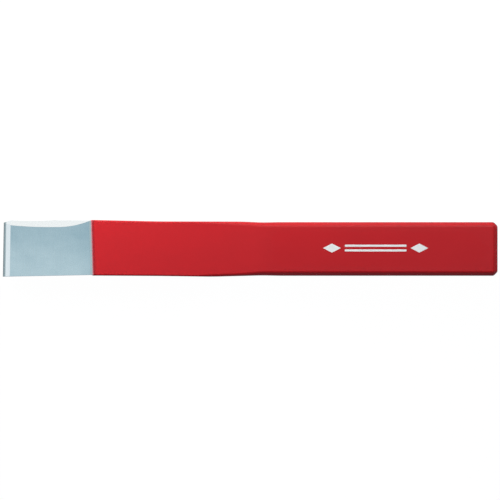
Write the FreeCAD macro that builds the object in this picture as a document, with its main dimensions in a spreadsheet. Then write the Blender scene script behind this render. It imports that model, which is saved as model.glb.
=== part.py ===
import FreeCAD, Part
import math
import os

import Sketcher

os.makedirs("parts", exist_ok=True)

# Cold chisel, lying on its broad face.
# X runs along the tool from the cutting edge (-X) to the struck head (+X), Y across the
# shank, Z up. Z = 0 is the underside of the coated shank, Y = 0 the shank's centreline
# and X = 0 the middle of the overall length. Millimetres and degrees throughout.
# Inside each body Z = 0 is the middle of the thickness, and every station "u" below is
# measured from the cutting edge towards the head.

doc = FreeCAD.newDocument("cold_chisel")

SIZES = [
    # overall, over the coat
    ("length", 200.0, "cutting edge to struck face"),
    ("shank_width", 21.7, "across the shank, over the coat"),
    ("shank_thick", 12.0, "through the shank, over the coat"),
    ("coat", 0.12, "thickness of the red coat"),
    # bar and head
    ("long_chamfer", 1.45, "leg of the four long edge chamfers, steel"),
    ("head_chamfer", 1.6, "leg of the chamfer round the struck face, steel"),
    # forged taper
    ("shoulder_at", 104.8, "station where the taper starts"),
    ("shoulder_run", 13.0, "length of the concave shoulder"),
    ("shoulder_drop", 0.9, "how far the face has fallen at the foot of the shoulder"),
    ("shoulder_radius", 185.0, "radius of the concave shoulder"),
    # bevels at the edge
    ("land_half", 0.05, "half the thickness of the cutting edge itself"),
    ("micro_len", 0.8, "length of the steep bevel at the edge"),
    ("micro_half", 0.62, "half thickness where the steep bevel ends"),
    ("bevel_len", 2.8, "station where the bevel ends"),
    ("bevel_half", 1.65, "half thickness where the bevel ends"),
    # bright ground blade
    ("border_at", 35.9, "station where the ground blade ends, on the centreline"),
    ("border_slant", 1.8, "angle of that border across the blade"),
    ("step_run", 0.45, "length of the run-out step at the border"),
    ("grind", 0.15, "steel taken off each broad face by the grinding"),
    ("grind_flank", 0.10, "steel taken off each flank by the grinding"),
    ("coat_setback", 0.08, "bare forged skin left in front of the coat"),
    # outline in plan, each measured outwards from half the shank width
    ("neck_run", 7.0, "start of the taper to the full shank width"),
    ("pinch", -0.14, "at the start of the taper"),
    ("flare_run", 27.0, "border to the middle of the taper"),
    ("a_root_run", 8.0, "start of the taper to the +Y side's root"),
    ("a_root", 0.22, "+Y side, at its root"),
    ("a_mid", 0.28, "+Y side, mid taper"),
    ("a_border", 0.88, "+Y side, at the coat's border"),
    ("a_tip", 0.98, "+Y side, ground flank at the cutting edge"),
    ("b_root_run", 20.0, "start of the taper to the -Y side's root"),
    ("b_root", 0.38, "-Y side, at its root"),
    ("b_mid", 0.08, "-Y side, mid taper"),
    ("b_border", -0.08, "-Y side, at the coat's border"),
    ("b_tip", 0.50, "-Y side, ground flank at the cutting edge"),
    # slanted hollow-ground facet on each flank of the blade
    ("facet_tilt", 32.0, "lean of the facet from upright"),
    ("facet_tip", 2.08, "depth on the broad face at the bevel"),
    ("facet_turn", 2.72, "depth on the broad face where the run-out starts"),
    ("facet_turn_at", 22.5, "station where the run-out starts"),
    ("facet_bow", 190.0, "radius of the long, nearly straight part"),
    ("facet_runout", 38.0, "radius of the run-out"),
    ("facet_b_less", 1.08, "how much shallower the facet on the -Y flank is"),
    # printed ornament on the broad face
    ("mark_at", 150.7, "station of the ornament's middle"),
    ("mark_side", 0.35, "ornament's middle, off the centreline towards +Y"),
    ("mark_span", 42.5, "overall length of the ornament"),
    ("mark_height", 3.7, "height of the lozenges"),
    ("lozenge_len", 7.2, "length of each lozenge"),
    ("bar_gap", 1.6, "gap between a lozenge and the bars"),
    ("bar_height", 0.85, "height of each bar"),
    ("bar_pitch", 1.9, "distance between the two bars' middles"),
    ("ink", 0.02, "thickness of the print"),
]

sheet = doc.addObject("Spreadsheet::Sheet", "dims")
for row, (alias, value, note) in enumerate(SIZES, start=1):
    sheet.set(f"A{row}", note)
    sheet.set(f"B{row}", f"{value}")
    sheet.setAlias(f"B{row}", alias)
doc.recompute()

WORDS = {alias for alias, _, _ in SIZES}


def bound(expression):
    """The expression with each size's name led back to the sheet."""
    out, token = [], ""
    for char in expression + " ":
        if char.isalnum() or char == "_":
            token += char
            continue
        out.append(f"dims.{token}" if token in WORDS else token)
        out.append(char)
        token = ""
    return "".join(out).strip()


def number(expression):
    """The expression's present value, as a plain number."""
    value = sheet.evalExpression(bound(expression))
    return float(getattr(value, "Value", value))


def station(u):
    """X of a station measured from the cutting edge."""
    return f"({u}) - length / 2"


# ---------------------------------------------------------------- sketches


def attach(sketch, body, plane, lean=None):
    """Lay the sketch on one of the body's planes; lean is (axis letter, angle)."""
    origin = {item.Role: item for item in body.Origin.OriginFeatures}
    sketch.AttachmentSupport = [(origin[plane], "")]
    sketch.MapMode = "FlatFace"
    if lean is not None:
        axis, angle = lean
        for letter in "xyz":
            value = "1" if letter == axis else "0"
            sketch.setExpression(f"AttachmentOffset.Rotation.Axis.{letter}", value)
        sketch.setExpression("AttachmentOffset.Rotation.Angle", bound(angle))


def pin(sketch, index, end, axis, expression):
    """Hold one end of a line at a bound distance from the sketch's origin."""
    value = number(expression)
    kind = "DistanceX" if axis == 0 else "DistanceY"
    constraint = sketch.addConstraint(Sketcher.Constraint(kind, -1, 1, index, end, value))
    sketch.setExpression(f"Constraints[{constraint}]", bound(expression))


def ring(sketch, corners):
    """One closed loop. A corner is (x, y) or (x, y, radius, side): the edge that leaves
    it is a line, or an arc of that radius whose centre lies on that side of the chord."""
    points = [FreeCAD.Vector(number(c[0]), number(c[1]), 0) for c in corners]
    first = sketch.GeometryCount
    total = len(corners)
    for i, corner in enumerate(corners):
        a, b = points[i], points[(i + 1) % total]
        if len(corner) == 2:
            sketch.addGeometry(Part.LineSegment(a, b), False)
            continue
        radius, side = number(corner[2]), corner[3]
        chord = b.sub(a)
        half = chord.Length / 2
        across = FreeCAD.Vector(-chord.y, chord.x, 0).normalize() * side
        centre = (a + b) * 0.5 + across * math.sqrt(max(radius * radius - half * half, 0.0))
        middle = centre - across * radius
        sketch.addGeometry(Part.Arc(a, middle, b), False)
    swapped = []
    for i, corner in enumerate(corners):
        index = first + i
        start = sketch.getPoint(index, 1)
        swapped.append(start.sub(points[i]).Length > 1e-6)
    for i, corner in enumerate(corners):
        index, after = first + i, first + (i + 1) % total
        leave = 1 if swapped[i] else 2
        enter = 2 if swapped[(i + 1) % total] else 1
        sketch.addConstraint(Sketcher.Constraint("Coincident", index, leave, after, enter))
        start = 2 if swapped[i] else 1
        pin(sketch, index, start, 0, corner[0])
        pin(sketch, index, start, 1, corner[1])
        if len(corner) > 2:
            value = number(corner[2])
            constraint = sketch.addConstraint(Sketcher.Constraint("Radius", index, value))
            sketch.setExpression(f"Constraints[{constraint}]", bound(corner[2]))


def draw(body, name, plane, rings, lean=None):
    sketch = body.newObject("Sketcher::SketchObject", name)
    attach(sketch, body, plane, lean)
    for corners in rings:
        ring(sketch, corners)
    doc.recompute()
    return sketch


def feature(body, kind, name, sketch, length):
    """A pad or pocket that reaches the same distance to both sides of its sketch."""
    item = body.newObject(f"PartDesign::{kind}", name)
    item.Profile = sketch
    item.SideType = "Symmetric"
    item.setExpression("Length", bound(length))
    sketch.Visibility = False
    doc.recompute()
    return item


# ---------------------------------------------------------------- outlines

FAR = "8"  # how far a cutting sketch reaches past the steel, to the side or up
AHEAD = "-6"  # station ahead of the cutting edge where a cutting sketch starts
PAST = "3"  # how far a corner cut starts outside the corner

HALF = "(shank_width / 2 - coat)"  # half the steel shank's width
THICK = "(shank_thick / 2 - coat)"  # half the steel shank's thickness


def side_profile(grow):
    """Shank, concave shoulder and straight taper, seen along Y."""
    top = f"({THICK} + {grow})"
    foot = f"{top} - shoulder_drop"
    root = f"bevel_half + grind + {grow}"
    slope = f"(({foot}) - ({root})) / (shoulder_at - shoulder_run - bevel_len)"
    front = f"({root}) - ({slope}) * bevel_len"
    end = station(f"length - coat + {grow}")
    return [
        (station("0"), f"-({front})"),
        (station("shoulder_at - shoulder_run"), f"-({foot})", "shoulder_radius", -1),
        (station("shoulder_at"), f"-({top})"),
        (end, f"-({top})"),
        (end, top),
        (station("shoulder_at"), top, "shoulder_radius", -1),
        (station("shoulder_at - shoulder_run"), foot),
        (station("0"), front),
    ]


def plan_outline(grow):
    """Outline of the unground forging, seen along Z, as the hole in a frame."""
    half = f"({HALF} + {grow})"
    front, rear = station(f"{AHEAD} / 2"), station(f"length - {AHEAD} / 2")
    inner = [
        (front, f"-({half} + b_tip + grind_flank)"),
        (station("border_at"), f"-({half} + b_border)"),
        (station("border_at + flare_run"), f"-({half} + b_mid)"),
        (station("shoulder_at - b_root_run"), f"-({half} + b_root)"),
        (station("shoulder_at"), f"-({half} + pinch)"),
        (station("shoulder_at + neck_run"), f"-{half}"),
        (rear, f"-{half}"),
        (rear, half),
        (station("shoulder_at + neck_run"), half),
        (station("shoulder_at"), f"{half} + pinch"),
        (station("shoulder_at - a_root_run"), f"{half} + a_root"),
        (station("border_at + flare_run"), f"{half} + a_mid"),
        (station("border_at"), f"{half} + a_border"),
        (front, f"{half} + a_tip + grind_flank"),
    ]
    frame = [
        (station(AHEAD), f"-({half} + {FAR})"),
        (station(f"length - {AHEAD}"), f"-({half} + {FAR})"),
        (station(f"length - {AHEAD}"), f"{half} + {FAR}"),
        (station(AHEAD), f"{half} + {FAR}"),
    ]
    return [frame, inner]


def corner_cuts(grow, leg):
    """The four triangles that the long chamfers take off, seen along X."""
    half = f"{HALF} + {grow}"
    thick = f"{THICK} + {grow}"
    rings = []
    for y_sign in ("", "-"):
        for z_sign in ("", "-"):
            rings.append([
                (f"{y_sign}({half} - {leg} - {PAST})", f"{z_sign}({thick} + {PAST})"),
                (f"{y_sign}({half} + {PAST})", f"{z_sign}({thick} - {leg} - {PAST})"),
                (f"{y_sign}({half} + {PAST})", f"{z_sign}({thick} + {PAST})"),
            ])
    return rings


def bar(name, label, grow, leg, head):
    """The forged bar with its shoulder, taper, outline and chamfers."""
    body = doc.addObject("PartDesign::Body", name)
    body.Label = label
    body.setExpression("Placement.Base.z", bound("shank_thick / 2"))
    profile = draw(body, f"{name}_side", "XZ_Plane", [side_profile(grow)])
    feature(body, "Pad", f"{name}_bar", profile, f"shank_width + {FAR}")
    outline = draw(body, f"{name}_plan", "XY_Plane", plan_outline(grow))
    feature(body, "Pocket", f"{name}_outline", outline, f"shank_thick + {FAR}")
    corners = draw(body, f"{name}_corners", "YZ_Plane", corner_cuts(grow, leg))
    feature(body, "Pocket", f"{name}_long_chamfers", corners, "2 * length")
    before = body.Tip
    sides = before.Shape.Faces
    face = max(range(len(sides)), key=lambda i: sides[i].CenterOfMass.x)
    chamfer = body.newObject("PartDesign::Chamfer", f"{name}_head_chamfer")
    chamfer.Base = (before, [f"Face{face + 1}"])
    chamfer.setExpression("Size", bound(head))
    body.Tip = chamfer
    doc.recompute()
    return body


# ---------------------------------------------------------------- ground blade

SLOPE = (
    f"({THICK} - shoulder_drop - bevel_half - grind)"
    " / (shoulder_at - shoulder_run - bevel_len)"
)
EDGE = "0.02"  # how far above the skin a run-out step is drawn, so that it cuts clean through


def ground_half(u):
    """Half thickness of the ground blade at a station."""
    return f"(bevel_half + {SLOPE} * (({u}) - bevel_len))"


def flank(side, u):
    """Half width of the ground blade at a station, +Y side "a" or -Y side "b"."""
    border = f"({side}_border - grind_flank)"
    return f"({HALF} + {side}_tip + ({border} - {side}_tip) * ({u}) / border_at)"


def border(side):
    """Station of the slanted border at a flank."""
    sign = "-" if side == "a" else "+"
    return f"(border_at {sign} {HALF} * tan(border_slant))"


def ground_faces():
    """What the grinding takes off both broad faces, seen along Y."""
    foot = "border_at - step_run"
    rings = []
    for sign in ("", "-"):
        rings.append([
            (station(AHEAD), f"{sign}{ground_half(AHEAD)}"),
            (station(foot), f"{sign}{ground_half(foot)}"),
            (station("border_at"), f"{sign}({ground_half('border_at')} + grind + {EDGE})"),
            (station("border_at"), f"{sign}({THICK} + {FAR})"),
            (station(AHEAD), f"{sign}({THICK} + {FAR})"),
        ])
    return rings


def ground_flanks():
    """What the grinding takes off both flanks, seen along Z."""
    rings = []
    for side, sign in (("a", ""), ("b", "-")):
        foot = f"{border(side)} - step_run"
        rings.append([
            (station(AHEAD), f"{sign}{flank(side, AHEAD)}"),
            (station(foot), f"{sign}{flank(side, foot)}"),
            (station(border(side)), f"{sign}({HALF} + {side}_border + {EDGE})"),
            (station(border(side)), f"{sign}({HALF} + {FAR})"),
            (station(AHEAD), f"{sign}({HALF} + {FAR})"),
        ])
    return rings


def bevels():
    """What the two bevels take off on either side of the cutting edge, seen along Y."""
    rise = "(bevel_half - micro_half) / (bevel_len - micro_len)"
    past = "(2 * bevel_len)"
    rings = []
    for sign in ("", "-"):
        rings.append([
            (station(AHEAD), f"{sign}land_half"),
            (station("0"), f"{sign}land_half"),
            (station("micro_len"), f"{sign}micro_half"),
            (station(past), f"{sign}(micro_half + {rise} * ({past} - micro_len))"),
            (station(past), f"{sign}({THICK} + {FAR})"),
            (station(AHEAD), f"{sign}({THICK} + {FAR})"),
        ])
    return rings


def facets():
    """The hollow facet on each flank, drawn square to its own lean."""
    rings = []
    for side, sign, less, bulge in (("a", "", "0", 1), ("b", "-", "facet_b_less", -1)):
        def across(u, depth):
            return (
                f"(({flank(side, u)} - {depth} + {less}) * cos(facet_tilt)"
                f" + {ground_half(u)} * sin(facet_tilt))"
            )

        end = f"({border(side)} - {EDGE})"
        clear = (
            f"(({HALF} + {side}_border + 3 * {EDGE}) * cos(facet_tilt)"
            f" + ({ground_half(border(side))} + grind) * sin(facet_tilt))"
        )
        rings.append([
            (station(AHEAD), f"{sign}{across('bevel_len', 'facet_tip')}"),
            (station("bevel_len"), f"{sign}{across('bevel_len', 'facet_tip')}",
             "facet_bow", bulge),
            (station("facet_turn_at"), f"{sign}{across('facet_turn_at', 'facet_turn')}",
             "facet_runout", bulge),
            (station(end), f"{sign}{clear}"),
            (station(end), f"{sign}({HALF} + {FAR})"),
            (station(AHEAD), f"{sign}({HALF} + {FAR})"),
        ])
    return rings


forging = bar("forging", "chisel_forging", "0", "long_chamfer", "head_chamfer")
for name, plane, rings, lean, length in (
    ("ground_faces", "XZ_Plane", ground_faces(), ("y", "border_slant"), "2 * shank_width"),
    ("ground_flanks", "XY_Plane", ground_flanks(), None, "2 * shank_thick"),
    ("facets", "XY_Plane", facets(), ("x", "facet_tilt"), "2 * shank_width"),
    ("bevels", "XZ_Plane", bevels(), None, "2 * shank_width"),
):
    before = forging.Shape.Volume
    sketch = draw(forging, f"forging_{name}_sketch", plane, rings, lean)
    feature(forging, "Pocket", f"forging_{name}", sketch, length)
    taken = before - forging.Shape.Volume
    if not 0 < taken < 0.2 * before:
        raise RuntimeError(f"{name} took {taken:.1f} mm3 off the forging")

# ---------------------------------------------------------------- red coat

GROWN = "coat * (2 - sqrt(2))"  # how much longer a chamfer's leg is over the coat
outer = bar("coat_outer", "coat_outer", "coat", f"(long_chamfer + {GROWN})",
            f"(head_chamfer + {GROWN})")
reach = f"({HALF} + {FAR})"
front = "border_at + coat_setback"
trim = draw(outer, "coat_outer_trim_sketch", "XY_Plane", [[
    (station(AHEAD), f"-{reach}"),
    (station(f"{front} + {reach} * tan(border_slant)"), f"-{reach}"),
    (station(f"{front} - {reach} * tan(border_slant)"), reach),
    (station(AHEAD), reach),
]])
feature(outer, "Pocket", "coat_outer_trim", trim, "2 * shank_thick")

coating = doc.addObject("Part::Cut", "red_coating")
coating.Label = "red_coating"
coating.Base = outer
coating.Tool = forging

# ---------------------------------------------------------------- printed ornament


def lozenge():
    return [
        ("-lozenge_len / 2", "0"),
        ("0", "-mark_height / 2"),
        ("lozenge_len / 2", "0"),
        ("0", "mark_height / 2"),
    ]


def long_bar():
    half = "(mark_span / 2 - lozenge_len - bar_gap)"
    return [
        (f"-{half}", "-bar_height / 2"),
        (half, "-bar_height / 2"),
        (half, "bar_height / 2"),
        (f"-{half}", "bar_height / 2"),
    ]


MARKS = (
    ("mark_lozenge_front", lozenge(), "-(mark_span - lozenge_len) / 2", "0"),
    ("mark_lozenge_rear", lozenge(), "(mark_span - lozenge_len) / 2", "0"),
    ("mark_bar_upper", long_bar(), "0", "bar_pitch / 2"),
    ("mark_bar_lower", long_bar(), "0", "-bar_pitch / 2"),
)
marks = []
for name, corners, along, aside in MARKS:
    body = doc.addObject("PartDesign::Body", name)
    body.Label = name
    body.setExpression("Placement.Base.x", bound(f"mark_at - length / 2 + {along}"))
    body.setExpression("Placement.Base.y", bound(f"mark_side + {aside}"))
    body.setExpression("Placement.Base.z", bound("shank_thick"))
    sketch = draw(body, f"{name}_outline", "XY_Plane", [corners])
    film = body.newObject("PartDesign::Pad", f"{name}_film")
    film.Profile = sketch
    film.setExpression("Length", bound("ink"))
    marks.append(body)

# ---------------------------------------------------------------- check and write

doc.recompute()
for item in doc.Objects:
    if "Invalid" in item.State or "Error" in item.State:
        raise RuntimeError(f"{item.Label} did not compute: {item.State}")

parts = [forging, coating] + marks
for item in parts:
    shape = item.Shape
    if shape.isNull() or not shape.isValid() or len(shape.Solids) != 1:
        raise RuntimeError(f"{item.Label} is not one valid solid")
for item in marks:
    if abs(item.Shape.BoundBox.ZMin - number("shank_thick")) > 1e-3:
        raise RuntimeError(f"{item.Label} does not lie on the shank's face")
for item in parts:
    item.Shape.exportStep(f"parts/{item.Label}.step")
    box = item.Shape.BoundBox
    print(
        f"{item.Label}: {item.Shape.Volume:.2f} mm3,"
        f" X {box.XMin:.2f}..{box.XMax:.2f},"
        f" Y {box.YMin:.2f}..{box.YMax:.2f},"
        f" Z {box.ZMin:.3f}..{box.ZMax:.3f}"
    )
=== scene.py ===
"""A cold chisel in a white studio: bright ground blade, red-coated shank, small white ornament."""

import logging
import math
from dataclasses import dataclass, field
from enum import Enum
from typing import Any, Callable, Sequence

import bmesh
import bpy
from mathutils import Euler, Matrix, Vector


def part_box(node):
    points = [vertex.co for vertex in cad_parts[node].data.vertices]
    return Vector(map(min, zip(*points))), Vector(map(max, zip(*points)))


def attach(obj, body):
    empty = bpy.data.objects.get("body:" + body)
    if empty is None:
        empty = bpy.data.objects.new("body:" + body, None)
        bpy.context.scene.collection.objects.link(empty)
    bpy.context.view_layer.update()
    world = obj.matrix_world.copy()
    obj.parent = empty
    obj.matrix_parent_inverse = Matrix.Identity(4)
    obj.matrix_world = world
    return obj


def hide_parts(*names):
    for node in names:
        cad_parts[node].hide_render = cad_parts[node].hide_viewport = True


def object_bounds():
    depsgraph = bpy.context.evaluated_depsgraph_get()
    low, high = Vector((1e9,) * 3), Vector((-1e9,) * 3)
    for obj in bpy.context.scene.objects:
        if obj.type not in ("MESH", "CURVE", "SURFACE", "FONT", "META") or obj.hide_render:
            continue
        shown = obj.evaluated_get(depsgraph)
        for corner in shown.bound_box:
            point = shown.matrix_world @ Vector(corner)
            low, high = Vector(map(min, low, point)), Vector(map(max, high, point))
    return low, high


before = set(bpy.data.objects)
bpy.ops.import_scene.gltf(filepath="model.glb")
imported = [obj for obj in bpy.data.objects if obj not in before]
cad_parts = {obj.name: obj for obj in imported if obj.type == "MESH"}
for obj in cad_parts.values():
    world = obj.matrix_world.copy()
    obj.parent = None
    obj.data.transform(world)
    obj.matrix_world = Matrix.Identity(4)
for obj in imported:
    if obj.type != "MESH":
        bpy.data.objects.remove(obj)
cad_low, cad_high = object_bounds()

MM = 0.001
LOG = logging.getLogger("chisel")

Tint = tuple[float, float, float, float]
Triple = tuple[float, float, float]


class Slot(Enum):
    """The record's material slots."""

    STEEL = "tool_steel"
    COAT = "red_coat"
    INK = "white_ink"


# ---------------------------------------------------------------- shader work


class Wire:
    """A value on a shader socket that takes part in ordinary arithmetic."""

    def __init__(self, bench: "Bench", socket: Any) -> None:
        """Wraps one output socket.

        Args:
            bench: the material the socket belongs to.
            socket: an output socket, or a plain number.
        """
        self.bench = bench
        self.socket = socket

    def _math(self, operation: str, first: Any, second: Any = 0.0) -> "Wire":
        """Adds one Math node.

        Args:
            operation: the node's operation.
            first: first operand.
            second: second operand.

        Returns:
            The node's result.
        """
        node = self.bench.node(
            "ShaderNodeMath", {"operation": operation}, {0: first, 1: second}
        )
        return Wire(self.bench, node.outputs[0])

    def __add__(self, other: Any) -> "Wire":
        """self + other."""
        return self._math("ADD", self, other)

    def __radd__(self, other: Any) -> "Wire":
        """other + self."""
        return self._math("ADD", other, self)

    def __sub__(self, other: Any) -> "Wire":
        """self - other."""
        return self._math("SUBTRACT", self, other)

    def __rsub__(self, other: Any) -> "Wire":
        """other - self."""
        return self._math("SUBTRACT", other, self)

    def __mul__(self, other: Any) -> "Wire":
        """self * other."""
        return self._math("MULTIPLY", self, other)

    def __rmul__(self, other: Any) -> "Wire":
        """other * self."""
        return self._math("MULTIPLY", other, self)

    def size(self) -> "Wire":
        """The value without its sign."""
        return self._math("ABSOLUTE", self)

    def rise(self, low: float, high: float) -> "Wire":
        """A soft step.

        Args:
            low: where the step starts from 0.
            high: where it reaches 1.

        Returns:
            0 below low, 1 above high, smooth in between; low may be above high.
        """
        flip = low > high
        node = self.bench.node(
            "ShaderNodeMapRange",
            {"interpolation_type": "SMOOTHSTEP"},
            {
                "Value": self,
                "From Min": min(low, high),
                "From Max": max(low, high),
                "To Min": 1.0 if flip else 0.0,
                "To Max": 0.0 if flip else 1.0,
            },
        )
        return Wire(self.bench, node.outputs["Result"])


class Bench:
    """A material under construction, with its Principled shader."""

    def __init__(self, name: str, constants: dict[str, Any]) -> None:
        """Starts a material.

        Args:
            name: the material's name.
            constants: plain values for the shader's own sockets.
        """
        self.material = bpy.data.materials.new(name)
        self.material.use_nodes = True
        self.tree = self.material.node_tree
        self.tree.nodes.clear()
        self.shader = self.node("ShaderNodeBsdfPrincipled", {}, constants)
        self.node(
            "ShaderNodeOutputMaterial", {}, {"Surface": self.shader.outputs["BSDF"]}
        )
        self.place = self.node("ShaderNodeTexCoord", {}, {}).outputs["Object"]

    def node(self, kind: str, settings: dict[str, Any], inputs: dict[Any, Any]) -> Any:
        """Adds a node, sets it up, then fills its sockets.

        Args:
            kind: the node's type.
            settings: properties, set first.
            inputs: socket name or number to a plain value, a Wire or a socket.

        Returns:
            The node.
        """
        node = self.tree.nodes.new(kind)
        for key, value in settings.items():
            setattr(node, key, value)
        for key, value in inputs.items():
            self.feed(node, key, value)
        return node

    def feed(self, node: Any, key: Any, value: Any) -> None:
        """Fills one socket.

        Args:
            node: the node.
            key: socket name or number.
            value: a plain value, a Wire or an output socket.
        """
        if isinstance(value, Wire):
            value = value.socket
        if isinstance(value, bpy.types.NodeSocket):
            self.tree.links.new(value, node.inputs[key])
        else:
            node.inputs[key].default_value = value

    def axes(self) -> tuple[Wire, Wire, Wire]:
        """The place on the piece.

        Returns:
            Its x, y and z in millimetres.
        """
        scaled = self.node(
            "ShaderNodeVectorMath",
            {"operation": "SCALE"},
            {0: self.place, "Scale": 1 / MM},
        )
        split = self.node("ShaderNodeSeparateXYZ", {}, {0: scaled.outputs[0]})
        return tuple(Wire(self, split.outputs[i]) for i in range(3))

    def grain(
        self,
        per_mm: Triple,
        detail: float = 2.0,
        roughness: float = 0.5,
        turn: float = 0.0,
        shift: float = 0.0,
    ) -> Wire:
        """Soft noise, stretched as wanted.

        Args:
            per_mm: how fast it changes along each axis.
            detail: finer layers added.
            roughness: how strong the finer layers are.
            turn: degrees that the pattern is turned about Z.
            shift: moves the pattern, so that two of them don't agree.

        Returns:
            The noise, about 0.5 on average.
        """
        mapping = self.node(
            "ShaderNodeMapping",
            {"vector_type": "TEXTURE"},
            {
                "Vector": self.place,
                "Location": (shift, shift * 0.7, shift * 0.4),
                "Rotation": (0.0, 0.0, math.radians(turn)),
                "Scale": tuple(MM / rate for rate in per_mm),
            },
        )
        noise = self.node(
            "ShaderNodeTexNoise",
            {"noise_dimensions": "3D"},
            {
                "Vector": mapping.outputs[0],
                "Scale": 1.0,
                "Detail": detail,
                "Roughness": roughness,
            },
        )
        return Wire(self, noise.outputs["Fac"])

    def facing(self, axis: str) -> Wire:
        """How far the surface faces along one of the piece's axes.

        Args:
            axis: X, Y or Z.

        Returns:
            -1 to 1.
        """
        normal = self.node("ShaderNodeNewGeometry", {}, {}).outputs["Normal"]
        split = self.node("ShaderNodeSeparateXYZ", {}, {0: normal})
        return Wire(self, split.outputs[axis])

    def blend(self, factor: Any, first: Any, second: Any) -> Any:
        """Mixes two colours.

        Args:
            factor: share of the second.
            first: a colour.
            second: a colour.

        Returns:
            The mixed colour's socket.
        """
        node = self.node(
            "ShaderNodeMix",
            {"data_type": "RGBA"},
            {"Factor": factor, 6: first, 7: second},
        )
        return node.outputs[2]

    def relief(self, height: Wire, depth_mm: float, below: Any = None) -> Any:
        """Turns a height into bumps.

        Args:
            height: 0 to 1.
            depth_mm: what 1 stands for.
            below: the normal of a coarser relief under this one.

        Returns:
            The normal's socket.
        """
        inputs = {"Height": height, "Distance": depth_mm * MM, "Strength": 1.0}
        if below is not None:
            inputs["Normal"] = below
        return self.node("ShaderNodeBump", {}, inputs).outputs["Normal"]


def tint(red: float, green: float, blue: float) -> Tint:
    """A colour with full alpha."""
    return (red, green, blue, 1.0)


def grey(tone: float) -> Tint:
    """A neutral colour."""
    return tint(tone, tone, tone)


@dataclass(frozen=True)
class GroundSteel:
    """Tool steel, ground across the blade, with painted shade on its face, a painted highlight just
    before the coat, and a smoother sharpened line along the cutting edge painted dark as a reflection.
    """

    face: Tint = tint(0.93, 0.925, 0.93)
    # painted shade: the darker, bluer tone the face blends to, also used for its grain
    shade: Tint = tint(0.62, 0.69, 0.73)
    bright: Tint = tint(0.86, 0.92, 0.94)
    flank: Tint = tint(0.88, 0.92, 0.925)
    # painted dark reflection on the sharpened line along the cutting edge
    honed_painted_dark: Tint = tint(0.40, 0.49, 0.51)
    # painted highlight: pale, warm line just before the coat, with the coat's red bounced into it
    step: Tint = tint(0.80, 0.755, 0.71)
    roughness: float = 0.27
    bevel_end: float = -97.2
    honed_end: float = -98.98
    edge_lean: float = 0.0164
    edge_back: float = 0.18
    border: float = -64.1
    slant: float = math.tan(math.radians(1.8))
    streak_depth: float = 0.0008
    line_depth: float = 0.0009

    def make(self) -> bpy.types.Material:
        """Builds the material.

        Returns:
            The steel: tones by place on the blade, then facets, bevels and relief.
        """
        bench = Bench("ground_steel", {"Metallic": 1.0})
        x, y, _ = bench.axes()
        streak = bench.grain((1.6, 0.05, 1.6), detail=2.0, roughness=0.5)
        lines = bench.grain((4.5, 0.16, 4.5), detail=2.0, roughness=0.5, turn=1.5, shift=0.31)
        cloud = bench.grain((0.11, 0.16, 0.11), detail=3.0, roughness=0.55, shift=0.77)
        behind = x + y * self.slant - self.border
        # darker towards the coat border; across is painted shade, darker and bluer towards +Y; streak
        # and cloud are grain
        by_border = behind.rise(-9.0, -0.2) * 0.25 + behind.rise(-1.3, -0.5) * 0.25
        across = y.rise(-12.0, 13.0) * 0.75
        grain_and_painted_shade = by_border + across + (streak - 0.5) * 0.14 + (cloud - 0.5) * 0.9
        color = bench.blend(grain_and_painted_shade, self.face, self.shade)
        # painted highlight: a pale, warm line in the last 0.8 mm of steel before the coat border
        color = bench.blend(behind.rise(-0.8, -0.45) * 0.85, color, self.step)
        facets = bench.facing("Y").size().rise(0.35, 0.7)
        color = bench.blend(facets, color, self.flank)
        at_edge = x - y * self.edge_lean - self.edge_back
        bevel = at_edge.rise(self.bevel_end + 0.12, self.bevel_end - 0.12)
        color = bench.blend(bevel, color, self.bright)
        # painted dark reflection on the sharpened band along the cutting edge; its lower roughness is
        # its own finish
        edge = at_edge.rise(self.honed_end + 0.15, self.honed_end - 0.1)
        color = bench.blend(edge, color, self.honed_painted_dark)
        bench.feed(bench.shader, "Base Color", color)
        rough = self.roughness + (streak - 0.5) * 0.10 + (lines - 0.5) * 0.10 - edge * 0.06
        bench.feed(bench.shader, "Roughness", rough)
        under = bench.relief(streak, self.streak_depth)
        bench.feed(bench.shader, "Normal", bench.relief(lines, self.line_depth, under))
        return bench.material


@dataclass(frozen=True)
class RedCoat:
    """Semi-gloss red powder coat with a faint orange peel, thin at its ground front edge."""

    red: Tint = tint(0.54, 0.0035, 0.008)
    deep: Tint = tint(0.49, 0.003, 0.007)
    heavy: Tint = tint(0.34, 0.003, 0.009)
    thin: Tint = tint(0.52, 0.22, 0.25)
    roughness: float = 0.36
    gloss: float = 0.04
    border: float = -64.02
    slant: float = math.tan(math.radians(1.8))
    peel_depth: float = 0.012
    fleck_depth: float = 0.002

    def make(self) -> bpy.types.Material:
        """Builds the material.

        Returns:
            The coat: uneven red, a heavy and then a thin band at its front rim, and relief.
        """
        bench = Bench("red_powder_coat", {"Coat Roughness": 0.2, "IOR": 1.42})
        x, y, _ = bench.axes()
        cloud = bench.grain((0.05, 0.09, 0.09), detail=2.0)
        fleck = bench.grain((1.7, 1.7, 1.7), detail=2.0, shift=0.4)
        peel = bench.grain((0.85, 0.85, 0.85), detail=1.5, shift=0.9)
        uneven = (cloud - 0.3) * 1.2 + (fleck - 0.5) * 0.5
        color = bench.blend(uneven, self.red, self.deep)
        behind = x + y * self.slant - self.border
        ragged = behind + (fleck - 0.5) * 0.16
        color = bench.blend(ragged.rise(1.7, 0.7) * 0.9, color, self.heavy)
        color = bench.blend(ragged.rise(0.62, 0.2) * 0.75, color, self.thin)
        bench.feed(bench.shader, "Base Color", color)
        rough = self.roughness + (cloud - 0.5) * 0.1 + (fleck - 0.5) * 0.08
        bench.feed(bench.shader, "Roughness", rough)
        bench.feed(bench.shader, "Coat Weight", self.gloss + (cloud - 0.5) * 0.06)
        under = bench.relief(peel, self.peel_depth)
        bench.feed(bench.shader, "Normal", bench.relief(fleck, self.fleck_depth, under))
        return bench.material


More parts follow.
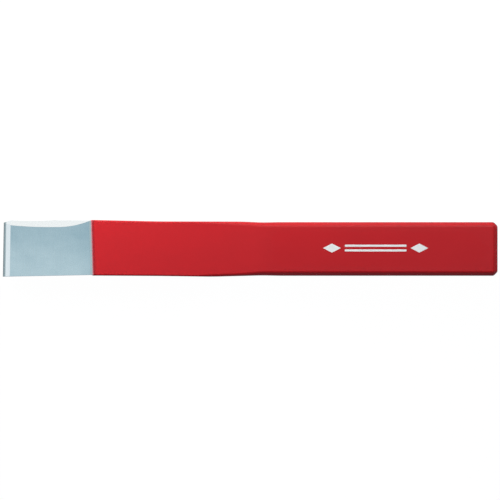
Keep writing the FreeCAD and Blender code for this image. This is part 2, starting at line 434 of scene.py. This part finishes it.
@dataclass(frozen=True)
class WhiteInk:
    """Satin white print with slightly uneven cover."""

    white: Tint = tint(0.90, 0.88, 0.87)
    sparse: Tint = tint(0.80, 0.52, 0.52)
    roughness: float = 0.42
    peel_depth: float = 0.010
    cover_depth: float = 0.003

    def make(self) -> bpy.types.Material:
        """Builds the material.

        Returns:
            The ink: white with a few sparse spots, over the coat's orange peel.
        """
        bench = Bench("white_print", {"IOR": 1.45})
        cover = bench.grain((2.6, 2.6, 2.6), detail=3.0, roughness=0.6)
        peel = bench.grain((0.85, 0.85, 0.85), detail=1.5, shift=0.9)
        thin = cover.rise(0.38, 0.22)
        color = bench.blend(thin * 0.6 + (cover - 0.5) * 0.08, self.white, self.sparse)
        bench.feed(bench.shader, "Base Color", color)
        bench.feed(bench.shader, "Roughness", self.roughness + (cover - 0.5) * 0.2)
        under = bench.relief(peel, self.peel_depth)
        bench.feed(bench.shader, "Normal", bench.relief(cover, self.cover_depth, under))
        return bench.material


# ---------------------------------------------------------------- shape


def along(knots: Sequence[tuple[float, float]], u: float) -> float:
    """A value read off straight runs between knots.

    Args:
        knots: (station, value), in order.
        u: the station.

    Returns:
        The value there; beyond the ends it stays as at the end.
    """
    if u <= knots[0][0]:
        return knots[0][1]
    for (u0, v0), (u1, v1) in zip(knots, knots[1:]):
        if u <= u1:
            return v0 + (v1 - v0) * (u - u0) / (u1 - u0)
    return knots[-1][1]


def spaced(low: float, high: float, count: int) -> list[float]:
    """Evenly spaced stations.

    Args:
        low: the first one.
        high: the last one, which is left out.
        count: how many.

    Returns:
        The stations.
    """
    return [low + (high - low) * i / count for i in range(count)]


def eased(read: Callable[[float], float], u: float, reach: int) -> float:
    """A reading evened out along the tool.

    Args:
        read: gives the reading at a station.
        u: the station.
        reach: how many millimetres to each side are taken in.

    Returns:
        The mean of the readings a millimetre apart.
    """
    steps = range(-reach, reach + 1)
    return sum(read(u + step) for step in steps) / len(steps)


def bend(start: Any, corner: Any, stop: Any, t: float) -> Any:
    """A point on the curve that rounds a corner.

    Args:
        start: where the curve leaves the first side.
        corner: the sharp corner.
        stop: where it joins the second side.
        t: from 0 at the start to 1 at the stop.

    Returns:
        The point, of the same kind as the three given.
    """
    return start * (1 - t) ** 2 + corner * 2 * t * (1 - t) + stop * t**2


@dataclass(frozen=True)
class Side:
    """One side of the tool in plan, as offsets outwards from half the bar's width, in mm."""

    tip: float
    border: float
    mid: float
    root: float
    root_run: float
    facet_less: float
    sign: int
    edge_slip: float


@dataclass(frozen=True)
class Sizes:
    """The chisel's own sizes in mm. Stations count from the cutting edge towards the head."""

    length: float = 200.0
    half_width: float = 10.73
    half_thick: float = 5.88
    coat: float = 0.12
    long_chamfer: float = 1.45
    least_chamfer: float = 0.34
    head_chamfer: float = 1.6
    shoulder_at: float = 104.8
    shoulder_run: float = 13.0
    shoulder_drop: float = 0.9
    shoulder_radius: float = 185.0
    land_half: float = 0.05
    micro_len: float = 0.8
    micro_half: float = 0.62
    bevel_len: float = 2.8
    bevel_half: float = 1.65
    border_at: float = 35.9
    border_slant: float = 1.8
    step_run: float = 0.45
    grind: float = 0.15
    grind_flank: float = 0.10
    coat_setback: float = 0.08
    neck_run: float = 7.0
    pinch: float = -0.14
    flare_run: float = 27.0
    facet_tilt: float = 32.0
    facet_tip: float = 2.08
    facet_turn: float = 2.72
    facet_turn_at: float = 22.5
    facet_bow: float = 190.0
    facet_runout: float = 38.0
    facet_stop: float = 0.3
    least_face: float = 0.1
    square_until: float = 3.0
    lean_from: float = 6.0
    lean_until: float = 60.0
    edge_slip_until: float = 16.0
    crest_ease: int = 3
    outline_ease: int = 2
    sharp_reach: float = 0.05
    hidden_reach: float = 0.5
    side_a: Side = Side(0.98, 0.88, 0.28, 0.22, 8.0, 0.0, 1, 0.36)
    side_b: Side = Side(0.50, -0.08, 0.08, 0.38, 20.0, 1.08, -1, 0.0)

    @property
    def foot_at(self) -> float:
        """Station of the foot of the concave shoulder."""
        return self.shoulder_at - self.shoulder_run

    def ground_half(self, u: float) -> float:
        """Half the thickness of the ground blade.

        Args:
            u: the station.

        Returns:
            The half thickness there, in mm.
        """
        foot = self.half_thick - self.shoulder_drop - self.grind
        return along(
            [
                (0.0, self.land_half),
                (self.micro_len, self.micro_half),
                (self.bevel_len, self.bevel_half),
                (self.foot_at, foot),
            ],
            u,
        )

    def skin_half(self, u: float) -> float:
        """Half the thickness of the forged skin.

        Args:
            u: the station.

        Returns:
            The half thickness there, in mm.
        """
        if u <= self.foot_at:
            return self.ground_half(u) + self.grind
        if u >= self.shoulder_at:
            return self.half_thick
        share = (u - self.foot_at) / self.shoulder_run
        sag = self.shoulder_run**2 / (8 * self.shoulder_radius)
        fall = self.shoulder_drop * (1 - share)
        return self.half_thick - fall - 4 * sag * share * (1 - share)

    def soft_half(self, u: float) -> float:
        """Half the thickness of the skin with the shoulder's crest eased."""
        return eased(self.skin_half, u, self.crest_ease)

    def outline(self, side: Side, u: float) -> float:
        """Half the width of the forged skin on one side.

        Args:
            side: which side.
            u: the station.

        Returns:
            The half width there, in mm.
        """
        knots = [
            (0.0, side.tip + self.grind_flank),
            (self.border_at, side.border),
            (self.border_at + self.flare_run, side.mid),
            (self.shoulder_at - side.root_run, side.root),
            (self.shoulder_at, self.pinch),
            (self.shoulder_at + self.neck_run, 0.0),
        ]
        return self.half_width + eased(lambda at: along(knots, at), u, self.outline_ease)

    def ground_side(self, side: Side, u: float) -> float:
        """Half the width of the ground blade on one side at a station."""
        end = side.border - self.grind_flank
        return self.half_width + along([(0.0, side.tip), (self.border_at, end)], u)

    def facet(self, side: Side, u: float) -> float:
        """How far the slanted facet's plane stands off the tool's axis.

        Args:
            side: which side.
            u: the station.

        Returns:
            The plane's distance from the axis there, in mm.
        """
        lean = math.radians(self.facet_tilt)
        first, turn = self.bevel_len, self.facet_turn_at
        last = self.border_at - self.facet_stop

        def stand(at: float, depth: float) -> float:
            """The plane's distance for a depth on the broad face."""
            wide = self.ground_side(side, at) - depth
            return wide * math.cos(lean) + self.ground_half(at) * math.sin(lean)

        at_first = stand(first, self.facet_tip - side.facet_less)
        at_turn = stand(turn, self.facet_turn - side.facet_less)
        at_last = stand(last, 0.0)
        if u <= turn:
            u = max(u, first)
            share = (u - first) / (turn - first)
            sag = (turn - first) ** 2 / (8 * self.facet_bow)
            return at_first + (at_turn - at_first) * share - 4 * sag * share * (1 - share)
        share = min((u - turn) / (last - turn), 1.0)
        sag = (last - turn) ** 2 / (8 * self.facet_runout)
        return at_turn + (at_last - at_turn) * share - 4 * sag * share * (1 - share)

    def slip(self, side: Side, s: float) -> float:
        """How far one side's point of a nominal station is moved along the tool.

        Args:
            side: which side.
            s: nominal station.

        Returns:
            The move in mm, which slants the border and the cutting edge.
        """
        lean = self.half_width * math.tan(math.radians(self.border_slant))
        knots = [
            (self.lean_from, 0.0),
            (self.border_at - 0.5, 1.0),
            (self.border_at + 0.2, 1.0),
            (self.lean_until, 0.0),
        ]
        share = along(knots, s)
        front = along([(self.bevel_len, 1.0), (self.edge_slip_until, 0.0)], s)
        return -side.sign * lean * share + side.edge_slip * front

    def ground_flank(self, side: Side, s: float) -> list[Vector]:
        """Four corners of one side of the ground blade, from the facet's broad face on.

        Args:
            side: which side.
            s: nominal station.

        Returns:
            The corners as (x, y, z), as if the side were the +Y one.
        """
        slip = self.slip(side, s)
        u = s + slip if s > self.square_until else s
        x = s + slip - self.length / 2
        lean = math.radians(self.facet_tilt)
        half, wide, stand = self.ground_half(u), self.ground_side(side, u), self.facet(side, u)
        rest = min(self.least_face, half * 0.3)

        def facet_y(z: float) -> float:
            """Where the facet's plane is at a height."""
            return (stand - z * math.sin(lean)) / math.cos(lean)

        top = min(facet_y(half), wide - rest)
        meet = min((stand - wide * math.cos(lean)) / math.sin(lean), half - rest)
        low = -half + 2 * rest
        if meet > low:
            return [
                Vector((x, top, half)),
                Vector((x, wide, meet)),
                Vector((x, wide, -half + rest)),
                Vector((x, wide - rest, -half)),
            ]
        second, third = facet_y(low), facet_y(-half + rest)
        return [
            Vector((x, top, half)),
            Vector((x, second, low)),
            Vector((x, third, -half + rest)),
            Vector((x, third - rest, -half)),
        ]

    def skin_flank(self, side: Side, s: float, grow: float) -> list[Vector]:
        """Four corners of one side of the forged skin, or of the coat on it.

        Args:
            side: which side.
            s: nominal station.
            grow: how far outside the skin.

        Returns:
            The corners as (x, y, z), as if the side were the +Y one.
        """
        u = s + self.slip(side, s)
        half, wide = self.soft_half(u), self.outline(side, u)
        leg = self.long_chamfer - (self.half_thick - half) + (wide - self.half_width)
        leg = max(leg, self.least_chamfer) + grow * (2 - math.sqrt(2))
        half, wide, x = half + grow, wide + grow, u - self.length / 2
        return [
            Vector((x, wide - leg, half)),
            Vector((x, wide, half - leg)),
            Vector((x, wide, leg - half)),
            Vector((x, wide - leg, -half)),
        ]

    def ring(self, side_a: list[Vector], side_b: list[Vector], reach: float) -> list[Vector]:
        """One closed outline round the tool, in metres, with eased corners.

        Args:
            side_a: four corners of the +Y side.
            side_b: four corners of the -Y side, as if it were the +Y one.
            reach: how far from each corner its easing starts, in mm.

        Returns:
            Four points for each of the eight corners.
        """
        corners = side_a + [Vector((p.x, -p.y, -p.z)) for p in side_b]
        middle = Vector((0.0, 0.0, self.half_thick + self.coat))
        points = []
        for i, corner in enumerate(corners):
            before, after = corners[i - 1] - corner, corners[(i + 1) % 8] - corner
            run = min(reach, before.length * 0.42, after.length * 0.42)
            start = corner + before.normalized() * run
            end = corner + after.normalized() * run
            for t in (0.0, 0.3, 0.7, 1.0):
                points.append((bend(start, corner, end, t) + middle) * MM)
        return points

    def ground_ring(self, s: float) -> list[Vector]:
        """The ground blade's outline at a nominal station."""
        sides = [self.ground_flank(side, s) for side in (self.side_a, self.side_b)]
        return self.ring(*sides, self.sharp_reach)

    def skin_ring(self, s: float, grow: float, reach: float) -> list[Vector]:
        """The forged skin's outline, or the coat's, at a nominal station."""
        sides = [self.skin_flank(side, s, grow) for side in (self.side_a, self.side_b)]
        return self.ring(*sides, reach)


class Loft:
    """A closed skin drawn from ring to ring along the tool."""

    def __init__(self, start: list[Vector]) -> None:
        """Lays down the first ring.

        Args:
            start: its points.
        """
        self.bm = bmesh.new()
        self.order = self.bm.verts.layers.int.new("order")
        made = bmesh.ops.create_circle(self.bm, segments=len(start), radius=MM)
        for number, vert in enumerate(made["verts"]):
            vert[self.order] = number
            vert.co = start[number]
        self.rim = list(self.bm.edges)
        self.first = list(self.rim)

    def draw(self, points: list[Vector]) -> None:
        """Draws the open end on to the next ring.

        Args:
            points: the ring's points, in the first ring's order.
        """
        made = bmesh.ops.extrude_edge_only(self.bm, edges=self.rim)["geom"]
        fresh = {item for item in made if isinstance(item, bmesh.types.BMVert)}
        for vert in fresh:
            vert.co = points[vert[self.order]]
        self.rim = [
            item
            for item in made
            if isinstance(item, bmesh.types.BMEdge) and set(item.verts) <= fresh
        ]

    def close(self) -> bmesh.types.BMesh:
        """Caps both ends and turns every face outwards.

        Returns:
            The closed mesh.
        """
        bmesh.ops.edgeloop_fill(self.bm, edges=self.first)
        bmesh.ops.edgeloop_fill(self.bm, edges=self.rim)
        bmesh.ops.recalc_face_normals(self.bm, faces=self.bm.faces)
        return self.bm


def settle(
    bm: bmesh.types.BMesh,
    name: str,
    finish: bpy.types.Material,
    node: str,
) -> bpy.types.Object:
    """Makes a mesh a finished piece that stands for a CAD node.

    Args:
        bm: the mesh, which is used up.
        name: the piece's name.
        finish: its material.
        node: the CAD node it stands for.

    Returns:
        The piece.
    """
    mesh = bpy.data.meshes.new(name)
    bm.to_mesh(mesh)
    bm.free()
    mesh.materials.append(finish)
    mesh.shade_smooth()
    piece = bpy.data.objects.new(name, mesh)
    bpy.context.scene.collection.objects.link(piece)
    weigh = piece.modifiers.new("weighted", "WEIGHTED_NORMAL")
    weigh.mode = "FACE_AREA"
    weigh.weight = 100
    weigh.keep_sharp = True
    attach(piece, "root")
    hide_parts(node)
    LOG.info("%s: %d faces, stands for %s", name, len(mesh.polygons), node)
    return piece


@dataclass
class Forging:
    """The steel: edge bevels, flat-ground blade with hollow flank facets, and the forged body."""

    sizes: Sizes = field(default_factory=Sizes)
    steel: GroundSteel = field(default_factory=GroundSteel)
    blade_rings: int = 44
    crests: tuple[float, float] = (0.048, 0.05)

    def build(self) -> bpy.types.Object:
        """Builds and dresses the forging, from the cutting edge back to the head.

        Returns:
            The piece.
        """
        size = self.sizes
        run_out = size.border_at - size.step_run
        blade = [0.0]
        for end, ease in zip((size.micro_len, size.bevel_len), self.crests):
            blade += [end - ease, end + ease]
        blade += spaced(size.bevel_len + 0.6, run_out, self.blade_rings) + [run_out]
        loft = Loft(size.ground_ring(blade[0]))
        for s in blade[1:]:
            loft.draw(size.ground_ring(s))
        body = spaced(size.border_at, size.foot_at, 10) + spaced(size.foot_at, size.shoulder_at, 8)
        body += [size.shoulder_at, size.shoulder_at + size.neck_run]
        body += [size.length - size.coat - size.head_chamfer]
        loft.draw(size.skin_ring(body[0], 0.0, size.sharp_reach))
        for s in body[1:]:
            loft.draw(size.skin_ring(s, 0.0, size.hidden_reach))
        loft.draw(self.shrunk(size.length - size.coat))
        return settle(loft.close(), "ground_forging", self.steel.make(), "chisel_forging")

    def shrunk(self, s: float) -> list[Vector]:
        """The outline of the struck face at the end of the head's chamfer."""
        return self.sizes.skin_ring(s, -self.sizes.head_chamfer, self.sizes.hidden_reach)


@dataclass
class Coat:
    """The red coat: a thin closed shell with eased edges and a feathered front rim."""

    sizes: Sizes = field(default_factory=Sizes)
    paint: RedCoat = field(default_factory=RedCoat)
    edge_reach: float = 0.62
    rim: tuple[tuple[float, float], ...] = ((0.0, 0.0), (0.0, 0.03), (0.03, 0.07), (0.12, 0.1))
    rim_run: float = 0.35
    rim_reach: float = 0.08
    head_ease: float = 0.6

    def build(self) -> bpy.types.Object:
        """Builds and dresses the coat, inner wall first, round the rim and back to the head.

        Returns:
            The piece.
        """
        size = self.sizes
        front = size.border_at + size.coat_setback
        end = size.length - size.coat
        inside = [end - size.head_chamfer, size.shoulder_at + size.neck_run, size.shoulder_at]
        inside += spaced(size.shoulder_at, size.foot_at, 8)[1:] + spaced(size.foot_at, front, 10)
        loft = Loft(size.skin_ring(end, -size.head_chamfer, size.hidden_reach))
        for s in inside:
            loft.draw(size.skin_ring(s, 0.0, size.hidden_reach))
        # each ring of the rim is so far behind the front edge and stands so far over the steel
        for run, grow in (*self.rim, (self.rim_run, size.coat)):
            loft.draw(size.skin_ring(front + run, grow, self.rim_reach))
        # the rings stand closest together over the concave shoulder, to just past its crest
        past_crest = size.shoulder_at + 2
        outside = spaced(front + 0.9, size.foot_at - 1, 30)
        outside += spaced(size.foot_at - 1, past_crest, 30)
        outside += spaced(past_crest, past_crest + 10, 8)
        outside += spaced(past_crest + 10, size.length - 4, 12)
        for s in outside:
            loft.draw(size.skin_ring(s, size.coat, self.edge_reach))
        for back, inset in self.head_turn():
            loft.draw(size.skin_ring(size.length - back, size.coat - inset, self.edge_reach))
        return settle(loft.close(), "red_coat_shell", self.paint.make(), "red_coating")

    def head_turn(self) -> list[tuple[float, float]]:
        """The head's chamfer with eased crests.

        Returns:
            Each ring's distance from the end and its inset, in mm.
        """
        leg, ease = self.sizes.head_chamfer, self.head_ease
        corners = [((leg + ease, 0.0), (leg, 0.0), (leg - ease * 0.7, ease * 0.7))]
        corners += [((ease * 0.7, leg - ease * 0.7), (0.0, leg), (0.0, leg + ease))]
        turn = []
        for start, corner, stop in corners:
            for t in (0.0, 0.2, 0.4, 0.6, 0.8, 1.0):
                turn.append(tuple(bend(*places, t) for places in zip(start, corner, stop)))
        return turn + [(0.0, leg + 1.0)]


@dataclass
class Ornament:
    """The white print: two lozenges with two bars between them."""

    ink: WhiteInk = field(default_factory=WhiteInk)
    corner: float = 0.22

    def build(self) -> list[bpy.types.Object]:
        """Builds and dresses the four printed pieces.

        Returns:
            The pieces.
        """
        paint = self.ink.make()
        made = []
        for node in ("mark_lozenge_front", "mark_lozenge_rear", "mark_bar_upper", "mark_bar_lower"):
            sides = 0.0 if "lozenge" in node else math.pi / 4
            made.append(self.film(node, sides, paint))
        return made

    def film(self, node: str, turn: float, paint: bpy.types.Material) -> bpy.types.Object:
        """One flat piece of print with eased corners.

        Args:
            node: the CAD node it stands for.
            turn: how far its four corners are turned from the axes.
            paint: its finish.

        Returns:
            The piece.
        """
        low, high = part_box(node)
        centre, half = (low + high) / 2, (high - low) / 2
        bm = bmesh.new()
        radius = 1.0 if turn == 0.0 else math.sqrt(2)
        bmesh.ops.create_circle(
            bm, cap_ends=True, segments=4, radius=radius, matrix=Matrix.Rotation(turn, 4, "Z")
        )
        bmesh.ops.scale(bm, vec=(half.x, half.y, 1.0), verts=bm.verts)
        bmesh.ops.translate(bm, vec=(centre.x, centre.y, low.z), verts=bm.verts)
        bmesh.ops.bevel(
            bm,
            geom=list(bm.verts),
            offset=self.corner * MM,
            segments=4,
            profile=0.5,
            affect="VERTICES",
            material=-1,
        )
        base = bmesh.ops.extrude_face_region(bm, geom=list(bm.faces))["geom"]
        top = [item for item in base if isinstance(item, bmesh.types.BMVert)]
        bmesh.ops.translate(bm, vec=(0.0, 0.0, 2 * half.z), verts=top)
        bmesh.ops.recalc_face_normals(bm, faces=bm.faces)
        return settle(bm, node.replace("mark", "print"), paint, node)


# ---------------------------------------------------------------- studio


class Seen(Enum):
    """Which light a studio surface takes part in."""

    ALL = "all"
    SOFT = "soft"
    SHINE = "shine"

    def apply(self, item: bpy.types.Object) -> None:
        """Hides a surface from the rays it takes no part in."""
        item.visible_diffuse = self is not Seen.SHINE
        item.visible_glossy = self is not Seen.SOFT


GLOWING = {"Base Color": grey(0.0), "Specular IOR Level": 0.0, "Emission Strength": 1.0}
NEAR_GLOW = tint(0.30, 0.35, 0.42)
HEAD_GLOW = tint(0.42, 0.44, 0.47)


def aimed(place: Triple, aim: Triple, axis: str) -> Euler:
    """The turn that points one of an object's axes at something.

    Args:
        place: where the object hangs.
        aim: what it points at.
        axis: the axis that points there.

    Returns:
        The turn.
    """
    return (Vector(aim) - Vector(place)).to_track_quat(axis, "Y").to_euler()


def sheet(
    name: str, width: float, depth: float, level: float, finish: bpy.types.Material
) -> bpy.types.Object:
    """A flat studio surface.

    Args:
        name: its name.
        width: its size along X, in metres.
        depth: its size along Y, in metres.
        level: its height within its own mesh, in metres.
        finish: its material.

    Returns:
        The surface, marked as part of the studio.
    """
    bm = bmesh.new()
    bmesh.ops.create_grid(bm, x_segments=1, y_segments=1, size=0.5)
    bmesh.ops.scale(bm, vec=(width, depth, 1.0), verts=bm.verts)
    bmesh.ops.translate(bm, vec=(0.0, 0.0, level), verts=bm.verts)
    mesh = bpy.data.meshes.new(name)
    bm.to_mesh(mesh)
    bm.free()
    mesh.materials.append(finish)
    made = bpy.data.objects.new(name, mesh)
    bpy.context.scene.collection.objects.link(made)
    return made


@dataclass(frozen=True)
class Lamp:
    """A soft light."""

    name: str
    place: Triple
    aim: Triple
    wide: float
    deep: float
    watts: float

    def hang(self) -> None:
        """Puts the light up, out of the camera's sight."""
        data = bpy.data.lights.new(self.name, "AREA")
        data.shape, data.size, data.size_y = "RECTANGLE", self.wide, self.deep
        data.energy = self.watts
        lamp = bpy.data.objects.new(self.name, data)
        lamp.location = self.place
        lamp.rotation_euler = aimed(self.place, self.aim, "-Z")
        lamp.visible_camera = lamp.visible_glossy = False
        bpy.context.scene.collection.objects.link(lamp)


@dataclass(frozen=True)
class Card:
    """A flat studio card: dark to hold light back, or bright to give it."""

    name: str
    place: Triple
    aim: Triple
    width: float
    height: float
    glow: Tint
    seen: Seen = Seen.ALL

    def hang(self) -> None:
        """Puts the card up, out of the camera's sight."""
        bench = Bench(self.name, {**GLOWING, "Emission Color": self.glow})
        card = sheet(self.name, self.width, self.height, 0.0, bench.material)
        card.location = self.place
        card.rotation_euler = aimed(self.place, self.aim, "Z")
        card.visible_camera = False
        self.seen.apply(card)


@dataclass
class Studio:
    """A glowing white table, soft lights and the camera above."""

    floor_size: float = 14.0
    floor_tones: tuple[float, float] = (0.06, 0.065)
    floor_glow: float = 0.97
    table_level: float = -0.1 * MM
    glow_level: float = -0.05 * MM
    sky: Tint = tint(0.38, 0.39, 0.41)
    lens: float = 600.0
    sensor: float = 36.0
    view_width: float = 0.20225
    view_centre: tuple[float, float] = (-0.00003, -0.00043)
    lamps: tuple[Lamp, ...] = (
        Lamp("strip", (0.005, 0.09, 0.087), (0.005, 0.0, 0.012), 0.50, 0.08, 0.298),
        Lamp("edge_end", (-0.15, 0.105, 0.09), (-0.15, 0.0, 0.012), 0.16, 0.10, 0.205),
    )
    cards: tuple[Card, ...] = (
        Card("overhead", (-0.02, 0.15, 1.0), (-0.02, 0.15, 0.0), 1.0, 0.95, tint(0.458, 0.632, 0.698)),
        Card("front_card", (-0.50, 0.0, 0.34), (-0.08, 0.0, 0.0), 0.5, 0.5, tint(0.86, 0.90, 0.93)),
        Card("near_flag", (0.0, -0.30, 0.42), (0.0, 0.0, 0.36), 1.8, 0.84, grey(0.02), Seen.SOFT),
        Card("head_flag", (0.46, 0.0, 0.35), (0.0, 0.0, 0.25), 1.0, 0.7, grey(0.04), Seen.SOFT),
        Card("near_card", (0.0, -0.31, 0.36), (0.0, 0.0, 0.3), 1.8, 0.72, NEAR_GLOW, Seen.SHINE),
        Card("head_card", (0.47, 0.0, 0.2), (0.0, 0.0, 0.1), 1.0, 0.4, HEAD_GLOW, Seen.SHINE),
    )
    bounce: tuple[Tint, Tint] = (tint(0.30, 0.30, 0.32), grey(0.98))
    shine: tuple[Tint, Tint] = (tint(0.34, 0.38, 0.44), grey(0.98))
    lit_across: tuple[float, float] = (-14.0, 14.0)
    lit_along: tuple[float, float] = (108.0, 92.0)

    def build(self) -> None:
        """Sets up table, sky, lights and camera."""
        self.table()
        self.surround()
        for item in (*self.lamps, *self.cards):
            item.hang()
        self.camera()

    def table(self) -> None:
        """The pale table that is seen, and two unseen glowing sheets on it.

        The sheets light the chisel from below, one for soft and one for glossy light.
        They are brighter on the far side and short of the head.
        """
        bench = Bench("white_table", {"Roughness": 0.8, "Specular IOR Level": 0.1})
        dark, light = (grey(tone) for tone in self.floor_tones)
        mottle = bench.grain((0.02, 0.02, 0.02))
        bench.feed(bench.shader, "Base Color", bench.blend(mottle, dark, light))
        bench.feed(bench.shader, "Emission Color", grey(1.0))
        bench.feed(bench.shader, "Emission Strength", self.floor_glow)
        floor = sheet("table", self.floor_size, self.floor_size, self.table_level, bench.material)
        floor.visible_diffuse = floor.visible_glossy = False
        for name, seen, (dim, bright) in (
            ("table_bounce", Seen.SOFT, self.bounce),
            ("table_shine", Seen.SHINE, self.shine),
        ):
            bench = Bench(name, GLOWING)
            x, y, _ = bench.axes()
            lit = y.rise(*self.lit_across) * x.rise(*self.lit_along)
            bench.feed(bench.shader, "Emission Color", bench.blend(lit, dim, bright))
            glow = sheet(name, self.floor_size, self.floor_size, self.glow_level, bench.material)
            glow.visible_camera = glow.visible_shadow = False
            seen.apply(glow)

    def surround(self) -> None:
        """The even pale light all round."""
        world = bpy.data.worlds.new("surround")
        world.use_nodes = True
        world.node_tree.nodes["Background"].inputs["Color"].default_value = self.sky
        world.node_tree.nodes["Background"].inputs["Strength"].default_value = 1.0
        bpy.context.scene.world = world
        bpy.context.scene.view_settings.view_transform = "Standard"

    def camera(self) -> None:
        """The camera straight above, with the cutting edge to the left."""
        data = bpy.data.cameras.new("camera")
        data.lens, data.sensor_width = self.lens, self.sensor
        data.clip_start, data.clip_end = 0.01, 50.0
        camera = bpy.data.objects.new("camera", data)
        above = self.view_width * self.lens / self.sensor
        middle = (cad_low.z + cad_high.z) / 2
        camera.location = (*self.view_centre, middle + above)
        bpy.context.scene.collection.objects.link(camera)
        bpy.context.scene.camera = camera


def main() -> None:
    """Builds the studio and the chisel's pieces in order."""
    logging.basicConfig(level=logging.INFO, format="%(name)s %(message)s")
    Studio().build()
    Forging().build()
    Coat().build()
    Ornament().build()


if __name__ == "__main__":
    main()
